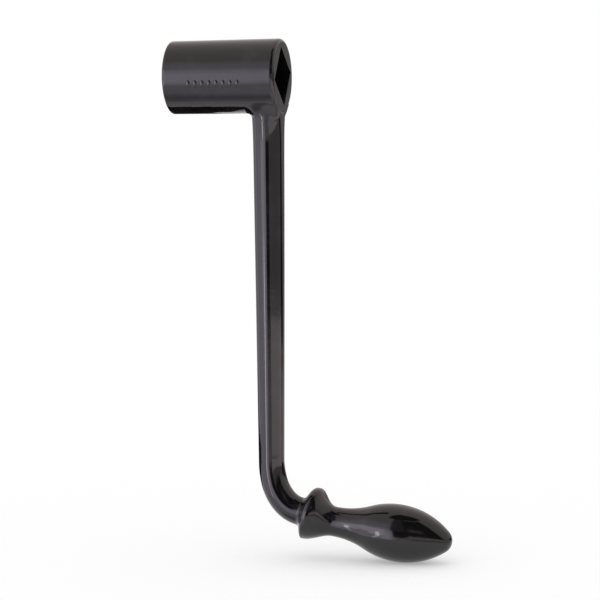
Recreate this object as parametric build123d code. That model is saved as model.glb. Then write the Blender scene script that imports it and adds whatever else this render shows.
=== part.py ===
from build123d import *
import math
import os

# Crank handle: a one-piece casting. A round hub with a square through socket carries a
# round tapered arm, which bends at its foot into a bulbous grip behind a flared collar.
# Millimetres. The origin is where the socket's axis meets the hub's front face. +X runs
# out of that face, on the grip's side, the arm hangs down -Z, and y = 0 is the plane
# that the arm and the grip lie in.

# Hub
hub_length = 68.4
hub_radius = 22.0
hub_draft = 0.3
hub_front_round = 2.2
hub_back_round = 1.3

# Socket: a broached square, set corner up and turned a little from the arm
socket_across_flats = 25.4
socket_corner_up = 45
socket_turn = 9.0

# Arm: its front is ground flush with the hub's front face where it stands proud
arm_setback = 8.9
arm_root_radius = 9.75
arm_foot_radius = 7.7
arm_foot_depth = 228.4

# Root of the arm, which spreads until it nearly meets the sides of the hub
root_top = 10.0
root_bottom = 52.0
root_side_gap = 0.135673
root_growth = 1.2
root_power = 3.7
root_fillet = 3.0
root_sections = 8
root_angle = 75.0

# Bend from the arm into the grip: an easy entry, then a tighter turn
entry_radius = 53.5
entry_angle = 14.5
bend_radius = 28.0
bend_sections = 36
grip_droop = 8.0

# Collar: a swelling at the end of the bend, which leans back from the grip's axis and
# stands high on it. It drops steeply towards the bend and falls away gently to the neck.
# The crest is measured along the axis from the end of the bend. The lean eases off
# towards the bend by so many degrees a millimetre.
collar_radius = 16.0
collar_crest_at = -0.8
collar_lift = 2.4
collar_lean = 9.2
collar_lean_rate = 3.2
collar_bend_side = 4.8
collar_bend_power = 3.4
collar_neck_power = 2.4
collar_tilt_reach = 9.5

# Grip, measured along its axis from the end of the bend
neck_at = 14.4
neck_radius = 8.85
neck_hollow_radius = 48.5
belly_at = 53.0
belly_radius = 17.0
tip_radius = 7.8
grip_length = 85.5

# How near a point has to lie to a surface to be on it
touch = 0.01


def direction(droop):
    """The unit vector that droops by an angle from +X towards -Z."""
    angle = math.radians(droop)
    return Vector(math.cos(angle), 0, -math.sin(angle))


def section(centre, droop, radius):
    """A disc of that radius, square to a line that droops from +X."""
    plane = Plane(origin=centre, x_dir=(0, 1, 0), z_dir=direction(droop))
    return plane * Circle(radius)


def arm_point(depth):
    """The point on the arm's axis that far below the socket's axis."""
    return Vector(-arm_setback, 0, -depth)


def arm_radius(depth):
    """The arm's radius, which tapers evenly from the socket's axis to the bend."""
    share = depth / arm_foot_depth
    return arm_root_radius + (arm_foot_radius - arm_root_radius) * share


def bend_arcs():
    """The radius and the turn of each arc of the bend, from the arm to the grip."""
    return [(entry_radius, entry_angle), (bend_radius, 90 - entry_angle - grip_droop)]


def bend_length():
    """The length of the centreline round the bend."""
    return sum(radius * math.radians(turn) for radius, turn in bend_arcs())


def spine(travel):
    """The point and the droop of the centreline that far past the foot of the arm."""
    point = arm_point(arm_foot_depth)
    droop = 90
    for radius, turn in bend_arcs():
        angle = min(turn, math.degrees(travel / radius))
        hinge = point + direction(droop - 90) * radius
        droop -= angle
        point = hinge - direction(droop - 90) * radius
        travel -= math.radians(angle) * radius
    return point + direction(droop) * travel, droop


def stem_radius(travel):
    """The radius under the collar, which grows evenly from the arm's foot to the neck."""
    share = travel / (bend_length() + neck_at)
    return arm_foot_radius + (neck_radius - arm_foot_radius) * share


def on_barrel(point):
    """Whether a point lies on the hub's drafted outer surface."""
    radius = hub_radius + hub_draft * point.X / hub_length
    return abs(math.hypot(point.Y, point.Z) - radius) < touch


def make_hub():
    """A slightly drafted barrel about the X axis, with a rounded back edge."""
    outline = Polyline(
        (-hub_length, 0),
        (0, 0),
        (0, hub_radius),
        (-hub_length, hub_radius - hub_draft),
        close=True,
    )
    profile = make_face(Plane.XZ * outline)
    back_corner = profile.vertices().sort_by(Axis.X)[:2].sort_by(Axis.Z)[-1]
    return revolve(fillet(back_corner, hub_back_round), Axis.X)


def root_spread():
    """How far the root's top spreads past the arm, to stop its gap short of the barrel."""
    half_width = math.sqrt(hub_radius**2 - root_top**2)
    return half_width - root_side_gap - arm_radius(root_top)


def root_section(depth):
    """The oval section of the arm's root at a depth; the spread dies away as a power."""
    share = ((root_bottom - depth) / (root_bottom - root_top)) ** root_power
    radius = arm_radius(depth)
    plane = Plane(origin=arm_point(depth), x_dir=(1, 0, 0), z_dir=(0, 0, -1))
    return plane * Ellipse(radius + root_growth * share, radius + root_spread() * share)


def make_arm():
    """The tapered arm, with the root that spreads into the sides of the hub."""
    taper = loft([
        section(arm_point(0), 90, arm_root_radius),
        section(arm_point(arm_foot_depth), 90, arm_foot_radius),
    ])
    step = (root_bottom - root_top) / root_sections
    depths = [root_top + step * number for number in range(root_sections + 1)]
    return taper + loft([root_section(depth) for depth in depths])


def trim_to_front_face(body):
    """Grinds off what stands past the plane of the hub's front face."""
    reach = 2 * arm_foot_depth
    return body - Pos(reach / 2, 0, 0) * Box(reach, reach, 2 * reach)


def round_root(body):
    """Fillets the crease where the arm's root runs into the hub's barrel."""
    crease = [
        edge
        for edge in body.edges().filter_by(GeomType.CIRCLE, reverse=True)
        if on_barrel(edge @ 0.5) and edge.center().Z < 0
    ]
    return fillet(crease, root_fillet)


def make_front_round():
    """What rounds the hub's front edge, all the way round but for the arm's root."""
    start = hub_radius - hub_front_round
    beyond = hub_radius + hub_front_round
    corner = hub_front_round * (1 - math.sqrt(0.5))
    arc = ThreePointArc(
        (-hub_front_round, hub_radius), (-corner, hub_radius - corner), (0, start)
    )
    outside = Polyline(
        (0, start),
        (hub_front_round, start),
        (hub_front_round, beyond),
        (-hub_front_round, beyond),
        (-hub_front_round, hub_radius),
    )
    profile = make_face(Plane.XZ * (arc + outside))
    turned = Rot(180 + root_angle / 2, 0, 0) * profile
    return revolve(turned, Axis.X, 360 - root_angle)


def make_socket():
    """The square bore, run out past both faces of the hub."""
    across = socket_across_flats
    turned = Rot(0, 0, socket_corner_up + socket_turn)
    square = Plane.YZ * turned * Rectangle(across, across)
    return extrude(square, 2 * hub_length, both=True)


def collar_shape(past):
    """How far the collar has swollen, its lift and its lean, that far past its crest.

    Towards the neck the swell is a power of a cosine, which ends at the neck. Towards the
    bend it is a steeper bell, while the lift and the lean die away over their own reach.
    """
    if past > 0:
        quarter = math.pi / 2 * past / (neck_at - collar_crest_at)
        swell = max(math.cos(quarter), 0) ** collar_neck_power
        return swell, collar_lift * swell, collar_lean * swell
    swell = math.exp(-((-past / collar_bend_side) ** collar_bend_power))
    fade = math.exp(-((past / collar_tilt_reach) ** 2))
    return swell, collar_lift * fade, (collar_lean + collar_lean_rate * past) * fade


def make_bend_and_collar():
    """The bend and the collar in one loft, from the foot of the arm to the neck."""
    sections = []
    length = bend_length() + neck_at
    for step in range(bend_sections + 1):
        travel = length * step / bend_sections
        point, droop = spine(travel)
        swell, lift, lean = collar_shape(travel - bend_length() - collar_crest_at)
        centre = point + direction(droop - 90) * lift
        stem = stem_radius(travel)
        radius = stem + (collar_radius - stem) * swell
        sections.append(section(centre, droop + lean, radius))
    return loft(sections)


def grip_outline():
    """The grip's outline: tangent arcs for the hollow neck, the belly and the tip."""
    run = belly_at - neck_at
    rise = belly_radius - neck_radius
    both_radii = (run**2 + rise**2) / (2 * rise)
    share = neck_hollow_radius / both_radii
    turning_point = (neck_at + run * share, neck_radius + rise * share)
    front = grip_length - belly_at - tip_radius
    front_radius = (front**2 + belly_radius**2 - tip_radius**2) / (
        2 * (belly_radius - tip_radius)
    )
    tip_centre = Vector(grip_length - tip_radius, 0)
    belly_centre = Vector(belly_at, belly_radius - front_radius)
    nose = tip_centre + (tip_centre - belly_centre).normalized() * tip_radius
    hollow = TangentArc((neck_at, neck_radius), turning_point, tangent=(1, 0))
    back = TangentArc(turning_point, (belly_at, belly_radius), tangent=hollow % 1)
    belly = TangentArc((belly_at, belly_radius), nose, tangent=(1, 0))
    tip = TangentArc(nose, (grip_length, 0), tangent=belly % 1)
    return hollow + back + belly + tip


def make_grip():
    """The grip from the neck to the tip, turned about its own axis."""
    start, droop = spine(bend_length())
    closing = Polyline((grip_length, 0), (neck_at, 0), (neck_at, neck_radius))
    plane = Plane(origin=start, x_dir=direction(droop), z_dir=(0, -1, 0))
    profile = make_face(plane * (grip_outline() + closing))
    return revolve(profile, Axis(start, direction(droop)))


os.makedirs("parts", exist_ok=True)
head = round_root(trim_to_front_face(make_hub() + make_arm()))
head = head - make_front_round() - make_socket()
casting = head + make_bend_and_collar() + make_grip()
export_step(casting, "parts/crank_handle.step")
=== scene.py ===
import math

import bpy
import numpy as np
from mathutils import Matrix, Vector


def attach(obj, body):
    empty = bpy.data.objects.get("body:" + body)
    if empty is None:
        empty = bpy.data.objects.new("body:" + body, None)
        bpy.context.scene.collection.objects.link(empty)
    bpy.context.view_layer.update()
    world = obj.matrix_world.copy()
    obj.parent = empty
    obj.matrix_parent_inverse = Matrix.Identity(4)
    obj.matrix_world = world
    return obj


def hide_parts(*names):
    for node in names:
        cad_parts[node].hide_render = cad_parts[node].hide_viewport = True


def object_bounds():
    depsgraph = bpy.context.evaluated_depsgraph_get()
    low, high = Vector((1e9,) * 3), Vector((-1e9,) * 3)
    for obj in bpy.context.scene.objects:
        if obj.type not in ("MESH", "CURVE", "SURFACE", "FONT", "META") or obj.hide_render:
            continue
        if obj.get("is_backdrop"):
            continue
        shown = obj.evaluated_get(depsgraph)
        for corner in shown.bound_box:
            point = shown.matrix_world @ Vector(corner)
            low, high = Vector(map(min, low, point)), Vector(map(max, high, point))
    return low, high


bl_info = {
    "name": "Cast crank handle",
    "version": (1, 0, 0),
    "blender": (4, 5, 0),
    "location": "View3D > Sidebar > Crank",
    "description": "A gloss enamelled crank handle, with its studio",
    "category": "Add Mesh",
}

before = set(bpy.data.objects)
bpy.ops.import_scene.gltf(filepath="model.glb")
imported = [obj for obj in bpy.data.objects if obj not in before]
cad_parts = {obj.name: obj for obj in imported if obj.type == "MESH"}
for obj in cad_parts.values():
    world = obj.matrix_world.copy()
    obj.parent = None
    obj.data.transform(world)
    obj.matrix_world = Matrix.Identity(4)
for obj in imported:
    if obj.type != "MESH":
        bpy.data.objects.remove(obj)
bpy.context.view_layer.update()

NODE = "crank_handle"
MM = 0.001

# How finely the limb is divided: points round it, rings down the arm, sections that the
# bend and the collar are worked out at, rings run through those, and points on each arc of
# the grip's outline
RING_POINTS = 192
ARM_ROWS = 88
BEND_SECTIONS = 36
BEND_ROWS = 141
ARC_POINTS = 34

# The light tent: its walls' colour, then patches laid over them, each with its azimuths,
# its elevations and the softness of its edges, in degrees, and its colour
WALLS = (0.95, 0.86, 0.84)
PATCHES = (
    # The ground, with a bright pool before the camera and a dim one to its left
    ((-200, 200), (-100, -14), 8, (1.15, 1.08, 1.12)),
    ((-45, 45), (-75, -42), 14, (1.5, 1.4, 1.5)),
    ((-90, -48), (-72, -42), 10, (0.62, 0.58, 0.66)),
    # A window on the left, brightest near its middle
    ((-125, -29), (-40, 40), 10, (1.4, 1.3, 1.55)),
    ((-92, -31), (-24, 22), 5, (1.9, 1.75, 2.1)),
    ((-46, -28), (-18, 13), 9, (2.7, 2.5, 2.95)),
    ((-88, -39), (1, 18), 4, (3.3, 3.0, 3.6)),
    ((-64, -40), (-6, 4), 4, (3.3, 3.1, 3.5)),
    # A dim wall low on the right
    ((1, 98), (-14, 6), 2, (0.64, 0.6, 0.61)),
    # Dark screens beside and above the camera, the last with a paler gap
    ((-25, -1), (-6.5, 68), 1.5, (0.06, 0.05, 0.06)),
    ((-29, -1), (18, 68), 2.5, (0.2, 0.17, 0.2)),
    ((-6, 57), (4, 64), 3, (0.05, 0.04, 0.05)),
    ((2, 26), (20, 30), 5, (0.4, 0.36, 0.38)),
    # The far side, from the right round to the left
    ((94, 130), (-7, 5), 1.5, (0.04, 0.03, 0.03)),
    ((130, 190), (-6, 8), 4, (0.3, 0.28, 0.28)),
    ((-190, -150), (-6, 8), 4, (0.4, 0.38, 0.38)),
    ((-150, -128), (-12, 6), 4, (0.6, 0.58, 0.62)),
    # A dark cover overhead
    ((-58, 85), (71, 100), 4, (0.04, 0.03, 0.02)),
    ((-49, 85), (65, 100), 2.5, (0.04, 0.03, 0.02)),
)

# The bright ribbon on the arm's left: its middle's azimuths, in degrees, at heights in
# metres, and its glow at its top, down its length and at its foot
RIBBON = ((-46, -0.13), (-46, -0.38), (-49, -0.46), (-57, -0.61))
RIBBON_TOP = (3.0, 3.0, 3.0)
RIBBON_LENGTH = (8.0, 7.6, 8.4)
RIBBON_FOOT = (4.0, 3.8, 4.3)

# The cards that lie on the floor
DARK_MAT = (0.02, 0.02, 0.02)
FAR_FLOOR = (1.9, 1.65, 1.7)


# Properties ---------------------------------------------------------------------------


def length(name, description, millimetres):
    """A length property, given in millimetres."""
    return bpy.props.FloatProperty(
        name=name,
        description=description,
        default=millimetres * MM,
        min=-0.5,
        max=0.5,
        unit="LENGTH",
        precision=4,
    )


def turn(name, description, degrees):
    """An angle property, given in degrees."""
    return bpy.props.FloatProperty(
        name=name, description=description, default=math.radians(degrees), unit="ROTATION"
    )


def number(name, description, default):
    """A plain number."""
    return bpy.props.FloatProperty(name=name, description=description, default=default)


def colour(name, description, default):
    """A colour property."""
    return bpy.props.FloatVectorProperty(
        name=name,
        description=description,
        default=default,
        size=3,
        min=0.0,
        max=1.0,
        subtype="COLOR",
    )


class CRANK_PG_hub(bpy.types.PropertyGroup):
    length: length("Length", "Length of the hub along its bore", 68.4)
    front_radius: length("Front radius", "Radius at the front face", 21.99)
    back_radius: length("Back radius", "Radius at the back face", 21.7)
    front_round: length("Front round", "Round on the hub's front edge", 2.2)
    root_round: length("Root round", "Round on the front edge over the arm's root", 0.2)
    back_round: length("Back round", "Round on the hub's back edge", 1.3)
    mouth_round: length("Mouth round", "Round on the edges of the socket", 0.45)
    across_flats: length("Across flats", "Width of the square socket", 25.4)
    socket_turn: turn("Socket turn", "Turn of the socket from corner up", 9.0)


class CRANK_PG_arm(bpy.types.PropertyGroup):
    setback: length("Setback", "From the hub's front face back to the arm's axis", 8.9)
    top_radius: length("Top radius", "Radius on the socket's axis", 9.75)
    foot_radius: length("Foot radius", "Radius where the bend starts", 7.7)
    foot_depth: length("Foot depth", "Depth of the start of the bend", 228.4)
    root_top: length("Root top", "Depth where the root's spread is widest", 10.0)
    root_depth: length("Root depth", "Depth where the root's spread has died away", 52.0)
    root_spread: length("Root spread", "Sideways spread of the root", 9.8)
    root_growth: length("Root growth", "Growth of the root along the bore", 1.2)
    root_power: number("Root power", "How quickly the root's spread dies away", 3.7)
    root_fillet: length("Root fillet", "Fillet where the arm meets the hub's length", 3.5)
    side_fillet: length("Side fillet", "Fillet where the arm meets the hub's sides", 18.0)
    ground_back: length("Ground back", "Ground front, behind the hub's front face", 0.3)
    ground_edge: length("Ground edge", "Softness of the ground front's edge", 0.25)


class CRANK_PG_grip(bpy.types.PropertyGroup):
    entry_radius: length("Entry radius", "Radius of the first part of the bend", 53.5)
    entry_angle: turn("Entry angle", "Turn of the first part of the bend", 14.5)
    bend_radius: length("Bend radius", "Radius of the rest of the bend", 28.0)
    droop: turn("Droop", "Droop of the grip's axis", 8.0)
    collar_radius: length("Collar radius", "Radius of the collar's crest", 16.0)
    collar_crest: length("Collar crest", "The crest, from the end of the bend", -0.8)
    collar_lift: length("Collar lift", "How high the collar stands on the axis", 2.4)
    collar_lean: turn("Collar lean", "How far the crest leans back", 9.2)
    collar_lean_rate: number("Lean rate", "Lean lost a millimetre to the bend, degrees", 3.2)
    collar_bend_side: length("Bend side", "Reach of the collar towards the bend", 4.8)
    collar_bend_power: number("Bend power", "How steeply it drops to the bend", 3.4)
    collar_neck_power: number("Neck power", "How steeply it falls to the neck", 2.4)
    collar_tilt: length("Tilt reach", "Reach of the lean and lift to the bend", 9.5)
    neck_at: length("Neck at", "The neck, from the end of the bend", 14.4)
    neck_radius: length("Neck radius", "Radius of the neck", 8.84)
    hollow_radius: length("Hollow radius", "Radius of the hollow at the neck", 48.5)
    belly_at: length("Belly at", "The belly, from the end of the bend", 53.0)
    belly_radius: length("Belly radius", "Radius of the belly", 16.99)
    tip_radius: length("Tip radius", "Radius of the round tip", 7.8)
    length: length("Length", "From the end of the bend to the tip", 85.49)


class CRANK_PG_marks(bpy.types.PropertyGroup):
    count: bpy.props.IntProperty(
        name="Count", description="Number of cast pips in the row", default=8, min=1
    )
    first: length("First", "From the front face back to the first pip", 22.0)
    pitch: length("Pitch", "From one pip to the next", 4.3)
    drop: length("Drop", "How far the row lies below the socket's axis", 4.8)
    half_length: length("Half length", "Half the length of a pip", 1.3)
    half_width: length("Half width", "Half the width of a pip", 2.4)
    height: length("Height", "How far a pip stands out", 0.6)


class CRANK_PG_enamel(bpy.types.PropertyGroup):
    dark: colour("Dark", "Colour of the enamel", (0.0035, 0.0034, 0.0036))
    dust: colour("Dust", "Colour of the thin haze on it", (0.012, 0.0115, 0.012))
    roughness: number("Roughness", "Roughness of the enamel", 0.07)


class CRANK_PG_stage(bpy.types.PropertyGroup):
    focal: number("Focal length", "Lens in millimetres, on a 36 mm frame", 126.9)
    distance: number("Distance", "From the camera to the origin, in metres", 1.248)
    yaw: turn("Yaw", "How far round to the grip's side the camera stands", 15.1)
    pitch: turn("Pitch", "How far above the horizon the camera stands", 3.98)
    roll: turn("Roll", "How far the camera leans", 0.44)
    across: number("Across", "The origin from the left, as a share of the frame", 0.4715)
    down: number("Down", "The origin from the top, as a share of the frame", 0.1264)
    floor: colour("Floor", "Colour of the floor", (0.72, 0.72, 0.72))


SETTINGS = {
    "crank_hub": CRANK_PG_hub,
    "crank_arm": CRANK_PG_arm,
    "crank_grip": CRANK_PG_grip,
    "crank_marks": CRANK_PG_marks,
    "crank_enamel": CRANK_PG_enamel,
    "crank_stage": CRANK_PG_stage,
}


# Meshes -------------------------------------------------------------------------------


def flat_object(name, points, faces, material):
    """An object at the origin from an array of points and a list of faces, left flat."""
    mesh = bpy.data.meshes.new(name)
    mesh.from_pydata(points.tolist(), [], faces)
    mesh.validate()
    mesh.materials.append(material)
    made = bpy.data.objects.new(name, mesh)
    bpy.context.collection.objects.link(made)
    return made


def smooth_object(name, points, faces, material):
    """The same, shaded smooth but for its edges."""
    made = flat_object(name, points, faces, material)
    mesh = made.data
    mesh.polygons.foreach_set("use_smooth", np.ones(len(mesh.polygons), dtype=bool))
    mesh.set_sharp_from_angle(angle=math.radians(38))
    return made


def card(name, points, material):
    """A flat or bent card through an array of rows of points."""
    rows, across = points.shape[:2]
    row, step = np.meshgrid(np.arange(rows - 1), np.arange(across - 1), indexing="ij")
    corner = (row * across + step).ravel()
    faces = np.stack([corner, corner + across, corner + across + 1, corner + 1], -1)
    return flat_object(name, points.reshape(-1, 3), faces.tolist(), material)


def wrapped_rows(count, around):
    """Quads between neighbouring rows of points, each row closed on itself."""
    row, step = np.meshgrid(np.arange(count - 1), np.arange(around), indexing="ij")
    near, far = row * around + step, row * around + (step + 1) % around
    return np.stack([near, far, far + around, near + around], -1).reshape(-1, 4)


def closed_shell(rings):
    """Points and faces of a stack of rings, its two ends closed by a fan to their centres."""
    count, around = rings.shape[:2]
    ends = np.stack([rings[0].mean(0), rings[-1].mean(0)])
    points = np.vstack([rings.reshape(-1, 3), ends])
    step = np.arange(around)
    after = (step + 1) % around
    first, last = count * around, (count - 1) * around
    start = np.stack([np.full(around, first), after, step], -1)
    finish = np.stack([np.full(around, first + 1), last + step, last + after], -1)
    return points, wrapped_rows(count, around).tolist() + start.tolist() + finish.tolist()


def closed_ring(rings):
    """Points and faces of a stack of rings whose last ring joins its first again."""
    count, around = rings.shape[:2]
    faces = wrapped_rows(count + 1, around) % (count * around)
    return rings.reshape(-1, 3), faces.tolist()


def quarter(radius, steps):
    """Cosines and sines of a quarter turn, scaled by a radius, without its two ends."""
    angle = np.linspace(0, math.pi / 2, steps + 2)[1:-1]
    return radius * np.cos(angle), radius * np.sin(angle)


# Shader maths -------------------------------------------------------------------------


class Sock:
    """A socket of a node tree that can be used in sums, products and powers."""

    def __init__(self, tree, socket):
        self.tree = tree
        self.socket = socket

    def maths(self, operation, *values):
        """A Math node on numbers and sockets."""
        node = self.tree.node("ShaderNodeMath", {"operation": operation}, dict(enumerate(values)))
        return node.out(0)

    def __add__(self, other):
        return self.maths("ADD", self, other)

    __radd__ = __add__

    def __mul__(self, other):
        return self.maths("MULTIPLY", self, other)

    __rmul__ = __mul__

    def __sub__(self, other):
        return self.maths("SUBTRACT", self, other)

    def __rsub__(self, other):
        return self.maths("SUBTRACT", other, self)

    def __pow__(self, other):
        return self.maths("POWER", self, other)

    def between(self, low, high):
        """0 below low, 1 above high, and smooth in between."""
        settings = {"interpolation_type": "SMOOTHSTEP"}
        values = {"Value": self, "From Min": low, "From Max": high}
        return self.tree.node("ShaderNodeMapRange", settings, values).out("Result")


class Placed:
    """A node that has been placed, and its outputs."""

    def __init__(self, tree, node):
        self.tree = tree
        self.node = node

    def out(self, key):
        """One output, ready for maths."""
        return Sock(self.tree, self.node.outputs[key])


class Tree:
    """A node tree that nodes are placed in."""

    def __init__(self, owner):
        owner.use_nodes = True
        self.nodes = owner.node_tree.nodes
        self.links = owner.node_tree.links
        self.nodes.clear()

    def node(self, kind, settings=None, values=None):
        """Places a node, sets it, then gives its sockets their values or links."""
        made = self.nodes.new(kind)
        for key, value in (settings or {}).items():
            setattr(made, key, value)
        for key, value in (values or {}).items():
            if isinstance(value, Sock):
                self.links.new(value.socket, made.inputs[key])
            else:
                made.inputs[key].default_value = value
        return Placed(self, made)

    def mix(self, factor, first, second):
        """A colour that goes from the first to the second as the factor goes from 0 to 1."""
        values = {0: factor, 6: first, 7: second}
        return self.node("ShaderNodeMix", {"data_type": "RGBA"}, values).out(2)

    def noise(self, where, scale, detail=2.0, roughness=0.5):
        """Soft noise from 0 to 1, at so many waves a metre."""
        values = {"Vector": where, "Scale": scale, "Detail": detail, "Roughness": roughness}
        return self.node("ShaderNodeTexNoise", {}, values).out("Fac")


def opaque(rgb):
    """A colour property as four numbers."""
    return (*rgb, 1.0)


# Finishes -----------------------------------------------------------------------------


def enamel(name, look):
    """Gloss black enamel over a casting: nearly black, slightly uneven, with a thin haze.

    Its bump is a slow swell all over, a fine peel and, on the hub's barrel, a cast skin
    that is coarser near the back face.
    """
    uneven = 0.06
    material = bpy.data.materials.new(name)
    tree = Tree(material)
    where = tree.node("ShaderNodeTexCoord").out("Object")
    haze = tree.noise(where, scale=90.0, detail=4.0, roughness=0.6).between(0.45, 0.75)
    base = tree.mix(haze, opaque(look.dark), opaque(look.dust))
    rough = tree.noise(where, scale=60.0, detail=3.0) * uneven + (look.roughness - uneven / 2)
    swell = tree.noise(where, scale=45.0, detail=1.0)
    peel = tree.noise(where, scale=420.0, detail=2.0)
    split = tree.node("ShaderNodeSeparateXYZ", {}, {"Vector": where})
    x, y, z = split.out("X"), split.out("Y"), split.out("Z")
    barrel = 1 - ((y * y + z * z) ** 0.5).between(22.5 * MM, 26 * MM)
    coarse = 0.25 - x.between(-60 * MM, -45 * MM) * 0.12
    skin = tree.noise(where, scale=170.0, detail=3.0) * coarse
    height = swell * 0.6 + peel * 0.05 + skin * barrel
    bump = tree.node(
        "ShaderNodeBump", {}, {"Strength": 0.35, "Distance": 0.0006, "Height": height}
    ).out("Normal")
    shader = tree.node(
        "ShaderNodeBsdfPrincipled",
        {},
        {"Base Color": base, "Roughness": rough, "IOR": 1.5, "Normal": bump},
    )
    tree.node("ShaderNodeOutputMaterial", {}, {"Surface": shader.out("BSDF")})
    return material


def shining(name, rgb):
    """A plain card that shines evenly."""
    material = bpy.data.materials.new(name)
    tree = Tree(material)
    shader = tree.node("ShaderNodeEmission", {}, {"Color": opaque(rgb), "Strength": 1.0})
    tree.node("ShaderNodeOutputMaterial", {}, {"Surface": shader.out("Emission")})
    return material


def ribbon_finish(name):
    """The ribbon's glow, which changes smoothly near its top and near its foot."""
    material = bpy.data.materials.new(name)
    tree = Tree(material)
    where = tree.node("ShaderNodeTexCoord").out("Object")
    height = tree.node("ShaderNodeSeparateXYZ", {}, {"Vector": where}).out("Z")
    to_top, above_foot = height.between(-0.2, -0.12), height.between(-0.48, -0.36)
    upper = tree.mix(to_top, opaque(RIBBON_LENGTH), opaque(RIBBON_TOP))
    glow = tree.mix(above_foot, opaque(RIBBON_FOOT), upper)
    shader = tree.node("ShaderNodeEmission", {}, {"Color": glow, "Strength": 1.0})
    tree.node("ShaderNodeOutputMaterial", {}, {"Surface": shader.out("Emission")})
    return material


def floor_finish(name, rgb):
    """A white floor: plain paint, with just enough glow to the eye to match the backdrop."""
    seen, mirrored = 0.318, 0.45
    material = bpy.data.materials.new(name)
    tree = Tree(material)
    path = tree.node("ShaderNodeLightPath")
    paint = tree.node("ShaderNodeBsdfDiffuse", {}, {"Color": opaque(rgb)}).out("BSDF")
    glow = path.out("Is Camera Ray") * seen + path.out("Is Glossy Ray") * mirrored
    shine = tree.node("ShaderNodeEmission", {}, {"Strength": glow})
    both = tree.node("ShaderNodeAddShader", {}, {0: paint, 1: shine.out("Emission")})
    tree.node("ShaderNodeOutputMaterial", {}, {"Surface": both.out(0)})
    return material


def tent_finish(name, yaw):
    """The glow of the light tent: its plain walls, then each patch laid over the last.

    A direction's azimuth is 0 towards the camera and grows to the camera's right. A patch
    is 1 inside its azimuths and elevations, 0 outside, and soft at its edges.
    """
    material = bpy.data.materials.new(name)
    tree = Tree(material)
    where = tree.node("ShaderNodeTexCoord").out("Object")
    split = tree.node("ShaderNodeSeparateXYZ", {}, {"Vector": where})
    x, y, z = split.out("X"), split.out("Y"), split.out("Z")
    right = x * math.cos(yaw) + y * math.sin(yaw)
    near = x * math.sin(yaw) - y * math.cos(yaw)
    level = (x * x + y * y) ** 0.5
    azimuth = x.maths("ARCTAN2", right, near) * math.degrees(1)
    elevation = x.maths("ARCTAN2", z, level) * math.degrees(1)
    glow = opaque(WALLS)
    for azimuths, elevations, soft, rgb in PATCHES:
        inside = 1
        for angle, (first, last) in ((azimuth, azimuths), (elevation, elevations)):
            inside = inside * angle.between(first - soft, first + soft)
            inside = inside * (1 - angle.between(last - soft, last + soft))
        glow = tree.mix(inside, glow, opaque(rgb))
    shader = tree.node("ShaderNodeEmission", {}, {"Color": glow, "Strength": 1.0})
    tree.node("ShaderNodeOutputMaterial", {}, {"Surface": shader.out("Emission")})
    return material


# Shapes -------------------------------------------------------------------------------


def hub_rings(hub):
    """The hub as one closed ring of rings about the X axis.

    Around it, each side of the square socket has evenly spaced points, so the angle of a
    point is the arc tangent of its place along the side. From row to row, the outline goes
    up the socket's wall, out over the front face, back along the barrel and in over the
    back face. The wall's radius is half the width across flats over the cosine of the
    angle from the middle of the side. The front edge's round shrinks at the bottom, over
    the arm's root, as the point's depth goes from one share of the radius to another.
    """
    root_edge, root_middle = 0.8, 0.92
    side_points, wall_rows, face_rows, barrel_rows = 64, 24, 8, 72
    side = np.arctan(np.linspace(-1, 1, side_points + 1)[:-1])
    angle = (hub.socket_turn + np.arange(4)[:, None] * math.pi / 2 + side).ravel()
    angle = angle + math.pi / 4
    wall = hub.across_flats / 2 / np.cos(np.tile(side, 4))
    mouth, back, back_edge = hub.mouth_round, -hub.length, hub.back_round
    at_root = np.interp(-np.sin(angle), (root_edge, root_middle), (0, 1))
    front_edge = hub.front_round + (hub.root_round - hub.front_round) * at_root
    front_cos, front_sin = quarter(1, steps=10)
    back_cos, back_sin = quarter(back_edge, steps=8)
    in_cos, in_sin = quarter(mouth, steps=3)
    rows = []

    def row(x, share_of_face, radius, beyond_wall=0.0):
        """Adds a ring between the wall, at share 0, and a plain radius, at share 1."""
        reach = wall + beyond_wall
        reach = reach + (radius - reach) * share_of_face
        rows.append(
            np.stack([x + 0 * angle, reach * np.cos(angle), reach * np.sin(angle)], -1)
        )

    for x in np.linspace(back + mouth, -mouth, wall_rows):
        row(x, 0, 0)
    for cosine, sine in zip(in_cos, in_sin):
        row(-mouth + sine, 0, 0, mouth - cosine)
    for share in np.linspace(0, 1, face_rows):
        row(0, share, hub.front_radius - front_edge, mouth)
    for cosine, sine in zip(front_cos[::-1], front_sin[::-1]):
        row(front_edge * (sine - 1), 1, hub.front_radius + front_edge * (cosine - 1))
    for x in np.linspace(-front_edge, back + back_edge, barrel_rows):
        share = x / back
        row(x, 1, hub.front_radius + (hub.back_radius - hub.front_radius) * share)
    for cosine, sine in zip(back_cos, back_sin):
        row(back + back_edge - sine, 1, hub.back_radius - back_edge + cosine)
    for share in np.linspace(1, 0, face_rows):
        row(back, share, hub.back_radius - back_edge, mouth)
    for cosine, sine in zip(in_cos[::-1], in_sin[::-1]):
        row(back + mouth - sine, 0, 0, mouth - cosine)
    return np.array(rows)


def arm_radius(arm, depth):
    """The arm's radius, which tapers evenly from the socket's axis to the bend."""
    return arm.top_radius + (arm.foot_radius - arm.top_radius) * depth / arm.foot_depth


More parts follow.
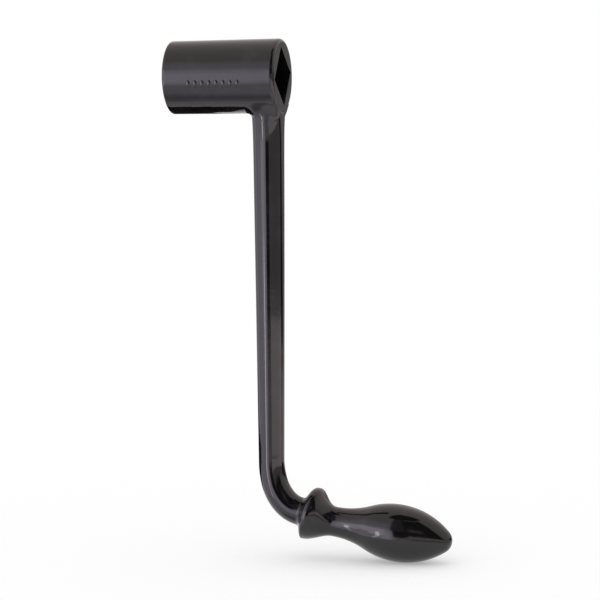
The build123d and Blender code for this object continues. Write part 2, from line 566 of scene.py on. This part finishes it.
def arm_section(arm, depth, around):
    """A point of the arm, and the outward direction there, at a depth and an angle.

    The section is an ellipse. Near the hub it is wider both ways, by amounts that die
    away as a power of the distance left to the root's end. Above the root's top they grow
    only a little more.
    """
    most = 1.1
    left = np.clip((arm.root_depth - depth) / (arm.root_depth - arm.root_top), 0, most)
    share = left**arm.root_power
    radius = arm_radius(arm, depth)
    across, forward = radius + arm.root_spread * share, radius + arm.root_growth * share
    x = -arm.setback + forward * np.cos(around)
    y = across * np.sin(around)
    normal_x, normal_y = np.cos(around) / forward, np.sin(around) / across
    size = np.hypot(normal_x, normal_y)
    return x, y, normal_x / size, normal_y / size


def root_rings(hub, arm, around):
    """The fillet between the hub and the arm, then the arm down to the root's end.

    A ball rolls in the crease. Its radius grows from the root's fillet to the side's with
    the fourth power of the sine of the angle round the arm. Its centre is that radius out
    from the arm's section and that radius out from the barrel, and its depth is settled by
    trying again from the last depth. The barrel is taken just below the hub's surface, so
    the fillet's edge lies inside it. Each fillet row turns from the direction in which the
    ball touches the barrel to that in which it touches the arm. The rows before them close
    the arm's top inside the hub, on a barrel that is smaller by a share.
    """
    sunk, shallowest, buried = 0.1 * MM, 0.25, 0.93
    tries, closing_rows, fillet_rows, arm_rows = 30, 10, 12, 40
    ball = arm.root_fillet + (arm.side_fillet - arm.root_fillet) * np.sin(around) ** 4
    barrel = hub.front_radius - sunk
    reach = barrel + ball
    depth = np.full_like(around, barrel)
    for _ in range(tries):
        x, y, normal_x, normal_y = arm_section(arm, depth, around)
        x, y = x + normal_x * ball, y + normal_y * ball
        depth = np.sqrt(np.maximum(reach**2 - y**2, (shallowest * barrel) ** 2))
    centre = np.stack([x, y, -depth], -1)
    to_barrel = np.stack([np.zeros_like(x), -y, depth], -1)
    to_barrel /= np.linalg.norm(to_barrel, axis=1)[:, None]
    to_arm = np.stack([-normal_x, -normal_y, np.zeros_like(x)], -1)
    between = np.arccos(np.clip((to_barrel * to_arm).sum(1), -1, 1))[:, None]
    rows = []
    ball = ball[:, None]
    touch = centre + ball * to_barrel
    for share in np.linspace(0, 1, closing_rows + 1)[1:]:
        x = -arm.setback + (touch[:, 0] + arm.setback) * share
        y = touch[:, 1] * share * buried
        z = -np.sqrt((buried * barrel) ** 2 - y**2)
        rows.append(np.stack([x, y, z], -1))
    for share in np.linspace(0, 1, fillet_rows):
        turned = to_barrel * np.sin((1 - share) * between) + to_arm * np.sin(share * between)
        rows.append(centre + ball * turned / np.sin(between))
    for share in np.linspace(0, 1, arm_rows)[1:]:
        below = depth + (arm.root_depth - depth) * share
        x, y, _, _ = arm_section(arm, below, around)
        rows.append(np.stack([x, y, -below], -1))
    return np.array(rows)


def spine(arm, grip, travel):
    """The points and the droop of the centreline, that far past the foot of the arm.

    Two arcs, each tangent to the last, turn it from straight down to the grip's droop;
    past them it runs straight on.
    """
    point = np.tile([-arm.setback, -arm.foot_depth], (len(travel), 1))
    droop = np.full(len(travel), math.pi / 2)
    left = travel.copy()
    rest = math.pi / 2 - grip.entry_angle - grip.droop
    for radius, angle in ((grip.entry_radius, grip.entry_angle), (grip.bend_radius, rest)):
        turned = np.minimum(left / radius, angle)
        point = point + radius * np.stack([np.sin(droop), np.cos(droop)], -1)
        droop = droop - turned
        point = point - radius * np.stack([np.sin(droop), np.cos(droop)], -1)
        left = left - turned * radius
    point = point + left[:, None] * np.stack([np.cos(droop), -np.sin(droop)], -1)
    return point, droop


def bend_length(grip):
    """The length of the centreline round the bend."""
    rest = math.pi / 2 - grip.entry_angle - grip.droop
    return grip.entry_radius * grip.entry_angle + grip.bend_radius * rest


def through(rings, count):
    """Rings spaced evenly along natural cubic splines through some of them.

    The second derivatives solve the spline's equations, one for each inner ring. Between
    two rings, a share of the way along, a point is the straight line between them plus
    each end's second derivative times (the share's cube less the share) over six.
    """
    given = len(rings)
    system = 4 * np.eye(given) + np.eye(given, k=1) + np.eye(given, k=-1)
    system[0], system[-1] = np.eye(given)[0], np.eye(given)[-1]
    flat = rings.reshape(given, -1)
    bends = np.zeros_like(flat)
    bends[1:-1] = 6 * (flat[2:] - 2 * flat[1:-1] + flat[:-2])
    curved = np.linalg.solve(system, bends)
    at = np.linspace(0, given - 1, count)
    start = np.minimum(at.astype(int), given - 2)
    share = (at - start)[:, None]
    back = 1 - share
    smooth = back * flat[start] + share * flat[start + 1]
    smooth += (back**3 - back) * curved[start] / 6
    smooth += (share**3 - share) * curved[start + 1] / 6
    return smooth.reshape(count, *rings.shape[1:])


def grip_profile(grip):
    """Distances and radii from the neck to the tip, along four tangent arcs.

    The hollow and the back of the belly are two circles that touch: the sum of their
    radii is (run squared + rise squared) over twice the rise. The belly's front and the
    tip are two circles that touch on one side, with their centres in line with the nose.
    """
    run, rise = grip.belly_at - grip.neck_at, grip.belly_radius - grip.neck_radius
    both = (run**2 + rise**2) / (2 * rise)
    hollow, back = grip.hollow_radius, both - grip.hollow_radius
    turned = math.asin(run / both)
    tip, reach = grip.tip_radius, grip.length - grip.belly_at - grip.tip_radius
    front = (reach**2 + grip.belly_radius**2 - tip**2) / (2 * (grip.belly_radius - tip))
    nose = math.asin(reach / (front - tip))
    arcs = (
        (grip.neck_at, grip.neck_radius + hollow, -hollow, 0, turned),
        (grip.belly_at, grip.belly_radius - back, back, -turned, 0),
        (grip.belly_at, grip.belly_radius - front, front, 0, nose),
        (grip.length - tip, 0, tip, nose, math.pi / 2),
    )
    at, radius = [], []
    for centre, height, size, start, end in arcs:
        angle = np.linspace(start, end, ARC_POINTS)[:-1]
        at.append(centre + abs(size) * np.sin(angle))
        radius.append(height + size * np.cos(angle))
    return np.concatenate(at), np.concatenate(radius)


def limb_rings(arm, grip, around):
    """The arm below its root, the bend, the collar and the grip, as rings along the spine.

    Up to the neck the stem's radius grows evenly. The collar adds a swell: towards the
    neck a power of a cosine that ends there, towards the bend the exponential of minus a
    power of the distance over its reach. The rings are lifted off the axis and leant back
    by amounts that fade with the swell, or over their own reach towards the bend.
    """
    bend = bend_length(grip)
    above = np.linspace(arm.root_depth, arm.foot_depth, ARM_ROWS + 2)[1:-1] - arm.foot_depth
    stem = np.linspace(0, bend + grip.neck_at, BEND_SECTIONS + 1)
    past, radius = grip_profile(grip)
    travel = np.concatenate([above, stem, past + bend])
    share = np.clip(travel / (bend + grip.neck_at), 0, 1)
    plain = arm.foot_radius + (grip.neck_radius - arm.foot_radius) * share
    plain[: len(above)] = arm_radius(arm, arm.foot_depth + above)
    plain[-len(radius) :] = radius
    off = travel - bend - grip.collar_crest
    quarter_turn = np.clip(off / (grip.neck_at - grip.collar_crest), 0, 1) * math.pi / 2
    to_neck = np.maximum(np.cos(quarter_turn), 0) ** grip.collar_neck_power
    to_bend = np.minimum(off, 0)
    steep = np.exp(-((-to_bend / grip.collar_bend_side) ** grip.collar_bend_power))
    swell = np.where(off < 0, steep, to_neck)
    fade = np.where(off < 0, np.exp(-((to_bend / grip.collar_tilt) ** 2)), to_neck)
    point, droop = spine(arm, grip, np.maximum(travel, 0))
    point[:, 1] -= np.minimum(travel, 0)
    lift = (fade * grip.collar_lift)[:, None]
    point = point + lift * np.stack([np.sin(droop), np.cos(droop)], -1)
    size = plain + (grip.collar_radius - plain) * swell
    rate = math.radians(grip.collar_lean_rate) / MM
    lean = droop + (grip.collar_lean + rate * to_bend) * fade
    up = np.cos(around)[None] * size[:, None]
    x = point[:, :1] + up * np.sin(lean)[:, None]
    z = point[:, 1:] + up * np.cos(lean)[:, None]
    y = np.sin(around)[None] * size[:, None]
    rings = np.stack([x, y, z], -1)
    arm_part, bend_part, grip_part = np.split(rings, (len(above), len(above) + len(stem)))
    return np.concatenate([arm_part, through(bend_part, BEND_ROWS)[:-1], grip_part])


def ground_flush(points, back, softness):
    """Holds points behind a plane that lies that far behind the front face.

    x becomes x minus softness times the logarithm of 1 + exp((x + back) over softness).
    """
    points[..., 0] -= softness * np.logaddexp(0, (points[..., 0] + back) / softness)


def pip_rings(marks, hub, index):
    """One cast pip: a low dome on the barrel, with an oval outline.

    Its rings shrink as the root of 1 less the square of their share of its height. They
    are wrapped round the barrel, and one more buries its foot there.
    """
    sunk, foot, ring_points, rings = 0.25 * MM, 2 * MM, 28, 8
    around = np.linspace(0, 2 * math.pi, ring_points, endpoint=False)
    rise = np.linspace(0, 1, rings + 1)[:-1]
    radius = hub.front_radius - sunk
    reach = np.sqrt(1 - rise**2)[:, None]
    along = -marks.first - index * marks.pitch + marks.half_length * reach * np.cos(around)
    across = marks.half_width * reach * np.sin(around) + marks.drop
    height = np.broadcast_to((marks.height * rise)[:, None], across.shape)
    buried = np.stack([along[:1], across[:1], height[:1] - foot])
    rows = np.concatenate([buried.transpose(1, 0, 2), np.stack([along, across, height], 1)])
    x, down, out = rows[:, 0], rows[:, 1], rows[:, 2] + radius
    angle = down / radius
    return np.stack([x, -out * np.cos(angle), -out * np.sin(angle)], -1)


# Stage --------------------------------------------------------------------------------


def only_reflected(made):
    """Hides a card from everything but reflections, and gives it to the stage."""
    made.visible_camera = False
    made.visible_diffuse = False
    made.visible_shadow = False
    made.visible_transmission = False
    made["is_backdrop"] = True


def tent(yaw):
    """A ball of light round the stage that only reflections see.

    A point is the radius times the unit vector of its azimuth and its elevation.
    """
    radius, columns, rows = 12.0, 96, 50
    around = np.linspace(0, 2 * math.pi, columns, endpoint=False)[None]
    up = np.linspace(-math.pi / 2, math.pi / 2, rows)[1:-1, None]
    rings = np.stack(
        [np.cos(up) * np.cos(around), np.cos(up) * np.sin(around), np.sin(up) + 0 * around],
        -1,
    )
    points, faces = closed_shell(rings * radius)
    only_reflected(smooth_object("Light_tent", points, faces, tent_finish("Light tent", yaw)))


def floors(height, material):
    """A round floor under the grip, and the rest of the floor, which nothing reflects.

    Each edge is a circle about a point under the grip.
    """
    under_grip, near, far, columns = 0.068, 0.07, 8.0, 72
    around = np.linspace(0, 2 * math.pi, columns + 1)[None]
    for name, radii in (("Floor_near", (0.0, near)), ("Floor_far", (near, far))):
        radius = np.array(radii)[:, None]
        x, y = under_grip + radius * np.cos(around), radius * np.sin(around)
        made = card(name, np.stack([x, y, height + 0 * x], -1), material)
        made.visible_glossy = name == "Floor_near"
        made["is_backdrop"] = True


def dark_mat(height, yaw):
    """A dark mat on the floor behind the hub, for the hub's underside to reflect.

    Its near edge is wavy, as a sine of the distance to the right, and its right end is
    less deep than the rest.
    """
    left_end, right_end, step, rows = -0.45, -0.067, -0.081, 220
    deep, short = 3.0, 0.35
    near_edge, wave, wave_reach = 0.108, 0.007, 0.0028
    right = np.linspace(left_end, right_end, rows)[:, None]
    edge = near_edge + wave * np.sin(right / wave_reach)
    back = edge + np.where(right > step, short, deep) * np.array([[0, 1]])
    right = right + 0 * back
    x = right * math.cos(yaw) - back * math.sin(yaw)
    y = right * math.sin(yaw) + back * math.cos(yaw)
    points = np.stack([x, y, height + 0 * x], -1)
    only_reflected(card("Dark_mat", points, shining("Mat", DARK_MAT)))


def ribbon(yaw, setback):
    """A narrow glowing ribbon, hung a metre from the arm's axis.

    At each height its azimuth is read off the straight lines between the ribbon's points,
    and its edges lie half its width to each side.
    """
    half_width, rows, away = 3.2, 80, 1.0
    azimuths, heights = np.array(RIBBON).T
    down = np.linspace(heights[0], heights[-1], rows)
    middle = np.interp(-down, -heights, azimuths)[:, None]
    angle = np.radians(middle + np.array([[-half_width, half_width]])) + yaw - math.pi / 2
    x, y = away * np.cos(angle) - setback, away * np.sin(angle)
    points = np.stack([x, y, down[:, None] + 0 * x], -1)
    only_reflected(card("Ribbon", points, ribbon_finish("Ribbon")))


def far_floor(height, yaw):
    """A sunlit stretch of floor to the camera's right, for the arm to reflect.

    It lies between two circles about the origin, from one azimuth to another.
    """
    first, last, near, far, columns = 2, 98, 0.36, 1.6, 40
    angle = np.radians(np.linspace(first, last, columns))[None] + yaw - math.pi / 2
    radius = np.array([[near], [far]])
    x, y = radius * np.cos(angle), radius * np.sin(angle)
    points = np.stack([x, y, height + 0 * x], -1)
    only_reflected(card("Far_floor", points, shining("Far floor", FAR_FLOOR)))


def studio_world(name):
    """A white backdrop to the eye, which lights evenly and is dimmer in reflections."""
    backdrop, light, mirrored = 1.0, 0.95, 0.7
    world = bpy.data.worlds.new(name)
    tree = Tree(world)
    path = tree.node("ShaderNodeLightPath")
    camera, transmission = path.out("Is Camera Ray"), path.out("Is Transmission Ray")
    seen = camera.maths("MAXIMUM", camera, transmission)
    level = seen * (backdrop - light) + light - path.out("Is Glossy Ray") * (light - mirrored)
    white = opaque((1.0, 1.0, 1.0))
    sky = tree.node("ShaderNodeBackground", {}, {"Color": white, "Strength": level})
    tree.node("ShaderNodeOutputWorld", {}, {"Surface": sky.out("Background")})
    return world


def aim_camera(stage):
    """The camera, from its distance, its turns and where it puts the origin in the frame."""
    yaw, pitch, roll = stage.yaw, stage.pitch, stage.roll
    right = Vector((math.cos(yaw), math.sin(yaw), 0))
    forward = Vector(
        (
            -math.sin(yaw) * math.cos(pitch),
            math.cos(yaw) * math.cos(pitch),
            -math.sin(pitch),
        )
    )
    up = right.cross(forward)
    side = math.cos(roll) * right - math.sin(roll) * up
    top = math.sin(roll) * right + math.cos(roll) * up
    sensor = 36.0
    data = bpy.data.cameras.new("Camera")
    data.sensor_width = sensor
    data.lens = stage.focal
    data.clip_start, data.clip_end = 0.05, 50.0
    across = (stage.across - 0.5) * sensor / stage.focal
    down = (stage.down - 0.5) * sensor / stage.focal
    camera = bpy.data.objects.new("Camera", data)
    bpy.context.collection.objects.link(camera)
    place = -stage.distance * (forward + across * side - down * top)
    turned = Matrix((side, top, -forward)).transposed().to_4x4()
    camera.matrix_world = Matrix.Translation(place) @ turned
    bpy.context.scene.camera = camera


# Operators ----------------------------------------------------------------------------


def stands_for_casting(made):
    """Hands a piece of the casting to the frame."""
    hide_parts(NODE)
    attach(made, "root")


def enamel_material():
    """The casting's enamel, made once."""
    name = "Black enamel"
    return bpy.data.materials.get(name) or enamel(name, bpy.context.scene.crank_enamel)


class CRANK_OT_hub(bpy.types.Operator):
    """Make the hub, with its square socket"""

    bl_idname = "crank.hub"
    bl_label = "Hub"

    def execute(self, context):
        points, faces = closed_ring(hub_rings(context.scene.crank_hub))
        stands_for_casting(smooth_object("Hub", points, faces, enamel_material()))
        return {"FINISHED"}


class CRANK_OT_limb(bpy.types.Operator):
    """Make the arm, the bend, the collar and the grip in one piece"""

    bl_idname = "crank.limb"
    bl_label = "Arm and grip"

    def execute(self, context):
        scene = context.scene
        around = np.linspace(0, 2 * math.pi, RING_POINTS, endpoint=False)
        top = root_rings(scene.crank_hub, scene.crank_arm, around)
        rest = limb_rings(scene.crank_arm, scene.crank_grip, around)
        rings = np.concatenate([top, rest])
        arm = scene.crank_arm
        ground_flush(rings[: len(top) + ARM_ROWS], arm.ground_back, arm.ground_edge)
        points, faces = closed_shell(rings)
        stands_for_casting(smooth_object("Arm_and_grip", points, faces, enamel_material()))
        return {"FINISHED"}


class CRANK_OT_marks(bpy.types.Operator):
    """Make the row of cast pips on the hub"""

    bl_idname = "crank.marks"
    bl_label = "Cast pips"

    def execute(self, context):
        scene = context.scene
        points, faces, total = [], [], 0
        for index in range(scene.crank_marks.count):
            some, these = closed_shell(pip_rings(scene.crank_marks, scene.crank_hub, index))
            points.append(some)
            faces += [[corner + total for corner in face] for face in these]
            total += len(some)
        made = smooth_object("Cast_pips", np.vstack(points), faces, enamel_material())
        stands_for_casting(made)
        return {"FINISHED"}


class CRANK_OT_stage(bpy.types.Operator):
    """Make the floor, the light tent, the backdrop and the camera"""

    bl_idname = "crank.stage"
    bl_label = "Stage"

    def execute(self, context):
        scene = context.scene
        stage = scene.crank_stage
        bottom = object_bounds()[0].z
        floors(bottom, floor_finish("Floor", stage.floor))
        scene.world = studio_world("Studio")
        tent(stage.yaw)
        ribbon(stage.yaw, scene.crank_arm.setback)
        dark_mat(bottom + MM, stage.yaw)
        far_floor(bottom + MM, stage.yaw)
        aim_camera(stage)
        scene.view_settings.view_transform = "Standard"
        return {"FINISHED"}


OPERATORS = (CRANK_OT_hub, CRANK_OT_limb, CRANK_OT_marks, CRANK_OT_stage)


class CRANK_PT_panel(bpy.types.Panel):
    """The crank's pieces and their sizes"""

    bl_idname = "CRANK_PT_panel"
    bl_label = "Crank handle"
    bl_space_type = "VIEW_3D"
    bl_region_type = "UI"
    bl_category = "Crank"

    def draw(self, context):
        for operator in OPERATORS:
            self.layout.operator(operator.bl_idname)
        for name, group in SETTINGS.items():
            box = self.layout.box()
            for key in group.__annotations__:
                box.prop(getattr(context.scene, name), key)


CLASSES = (*SETTINGS.values(), *OPERATORS, CRANK_PT_panel)


def register():
    """Registers the classes and gives every scene their settings."""
    for each in CLASSES:
        bpy.utils.register_class(each)
    for name, group in SETTINGS.items():
        setattr(bpy.types.Scene, name, bpy.props.PointerProperty(type=group))


def unregister():
    """Takes the settings and the classes away again."""
    for name in SETTINGS:
        delattr(bpy.types.Scene, name)
    for each in reversed(CLASSES):
        bpy.utils.unregister_class(each)


def main():
    """Makes every piece and the stage."""
    register()
    bpy.ops.crank.hub()
    bpy.ops.crank.limb()
    bpy.ops.crank.marks()
    bpy.ops.crank.stage()


if __name__ == "__main__":
    main()
